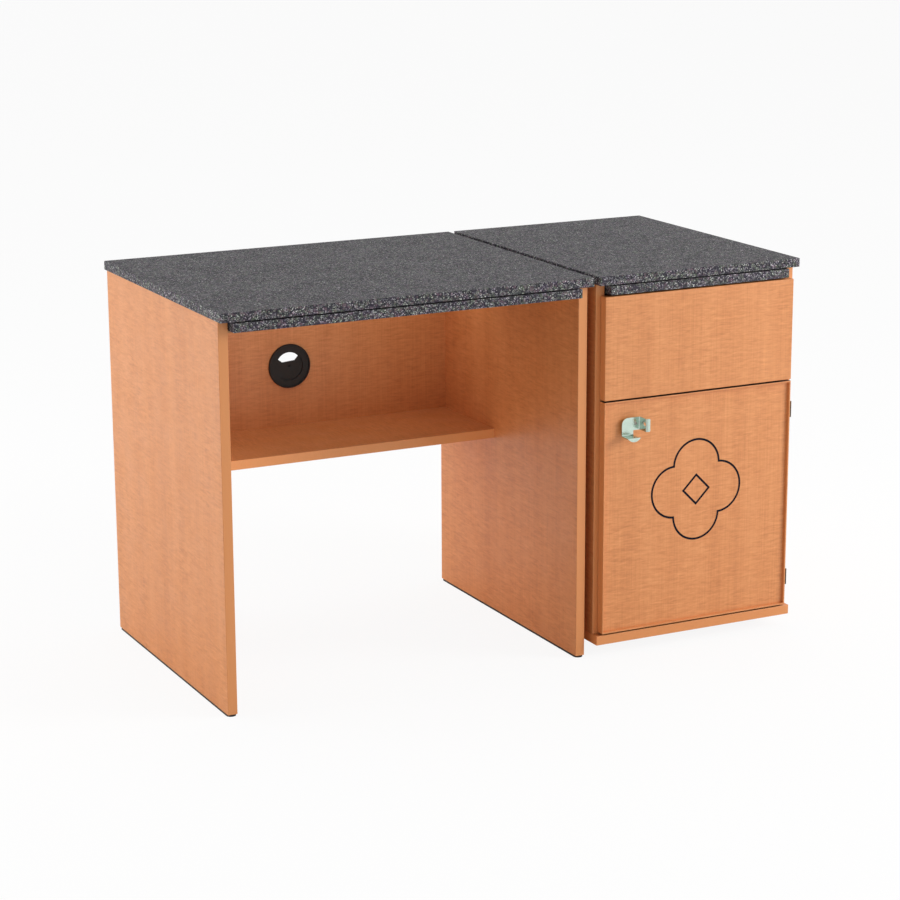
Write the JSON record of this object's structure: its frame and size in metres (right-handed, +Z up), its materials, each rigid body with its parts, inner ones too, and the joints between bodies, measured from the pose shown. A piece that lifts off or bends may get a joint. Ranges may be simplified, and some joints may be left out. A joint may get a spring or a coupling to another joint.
{
  "type": "kneehole desk with cupboard pedestal",
  "caption": "Kneehole desk with a pull-out leaf, rear shelf and cable grommet, ganged to a pedestal with pull-out leaf, drawer and cupboard door",
  "frame": {"origin": "on the floor, at the middle of the overall footprint of the tops and the lock pull", "axes": "+X to the right as a person faces the front, +Y to the back, +Z up; the door and the drawer face -Y"},
  "size_m": [1.229, 0.6456, 0.762],
  "materials": {
    "speckled_laminate": "speckled dark granite-look laminate on board, satin",
    "wood_laminate": "reddish cherry-look laminate on particle board, satin, grain running up and down",
    "black_plastic": "moulded, fine texture",
    "pale_enamel": "pale grey-green, smooth and shiny, on bent sheet steel",
    "dark_bronze": "dark bronzed steel",
    "emblem_line": "dark line inlay",
    "beech": "planed beech",
    "birch_ply": "lacquered birch plywood",
    "zinc_steel": "zinc plated",
    "ferrite": "ferrite magnet between steel poles"
  },
  "bodies": {
    "carcass": {"carcass_pan_screws": "zinc_steel", "catch_body": "black_plastic", "catch_magnet": "ferrite", "desk_back_panel": "wood_laminate", "desk_cam_bolts": "zinc_steel", "desk_cam_locks": "zinc_steel", "desk_dowels": "beech", "desk_leaf_runners": "beech", "desk_left_panel": "wood_laminate", "desk_panel_glides": "black_plastic", "desk_right_panel": "wood_laminate", "desk_runner_screws": "zinc_steel", "desk_shelf": "wood_laminate", "desk_top": "speckled_laminate", "drawer_slide_cabinet_members": "zinc_steel", "gang_bolts": "zinc_steel", "gang_inserts": "zinc_steel", "gang_spacers": "black_plastic", "grommet_ring": "black_plastic", "hinge_frame_leaves": "dark_bronze", "hinge_frame_screws": "dark_bronze", "hinge_pins": "dark_bronze", "pedestal_back_panel": "wood_laminate", "pedestal_base_board": "wood_laminate", "pedestal_cam_bolts": "zinc_steel", "pedestal_cam_locks": "zinc_steel", "pedestal_divider": "wood_laminate", "pedestal_dowels": "beech", "pedestal_foot_pads": "black_plastic", "pedestal_foot_stems": "zinc_steel", "pedestal_leaf_runners": "beech", "pedestal_left_panel": "wood_laminate", "pedestal_right_panel": "wood_laminate", "pedestal_runner_screws": "zinc_steel", "pedestal_shelf": "wood_laminate", "pedestal_shelf_pins": "zinc_steel", "pedestal_top": "speckled_laminate"},
    "desk_leaf": {"desk_leaf": "speckled_laminate", "desk_leaf_stops": "beech"},
    "pedestal_leaf": {"pedestal_leaf": "speckled_laminate", "pedestal_leaf_stops": "beech"},
    "drawer": {"drawer_front": "wood_laminate", "drawer_left_side": "birch_ply", "drawer_right_side": "birch_ply", "drawer_inner_front": "birch_ply", "drawer_back": "birch_ply", "drawer_bottom": "birch_ply", "drawer_front_screws": "zinc_steel", "drawer_slide_drawer_members": "zinc_steel", "drawer_pan_screws": "zinc_steel"},
    "slide_middles": {"drawer_slide_middle_members": "zinc_steel"},
    "door": {"door_panel": "wood_laminate", "door_lipping": "wood_laminate", "door_emblem": "emblem_line", "lock_pull": "pale_enamel", "lock_pull_bolt": "zinc_steel", "hinge_door_leaves": "dark_bronze", "hinge_door_screws": "dark_bronze", "catch_strike_plate": "zinc_steel"},
    "grommet_cap": {"grommet_cap": "black_plastic"}
  },
  "joints": [
    {"name": "desk_leaf_slide", "type": "slide", "parent": "carcass", "child": "desk_leaf", "axis": [0, -1, 0], "range_m": [0, 0.35]},
    {"name": "pedestal_leaf_slide", "type": "slide", "parent": "carcass", "child": "pedestal_leaf", "axis": [0, -1, 0], "range_m": [0, 0.3]},
    {"name": "drawer_slide", "type": "slide", "parent": "carcass", "child": "drawer", "axis": [0, -1, 0], "range_m": [0, 0.44]},
    {"name": "slide_middles_slide", "type": "slide", "parent": "carcass", "child": "slide_middles", "axis": [0, -1, 0], "range_m": [0, 0.22]},
    {"name": "door_hinge", "type": "hinge", "parent": "carcass", "child": "door", "pos_m": [0.6056, -0.28775, 0.28], "axis": [0, 0, 1], "range_deg": [0, 165]},
    {"name": "grommet_cap_turn", "type": "hinge", "parent": "carcass", "child": "grommet_cap", "pos_m": [-0.2335, 0.298, 0.516], "axis": [0, -1, 0], "continuous": true}
  ],
  "couplings": [
    {"joint": "slide_middles_slide", "follows": "drawer_slide", "ratio": 0.5}
  ]
}
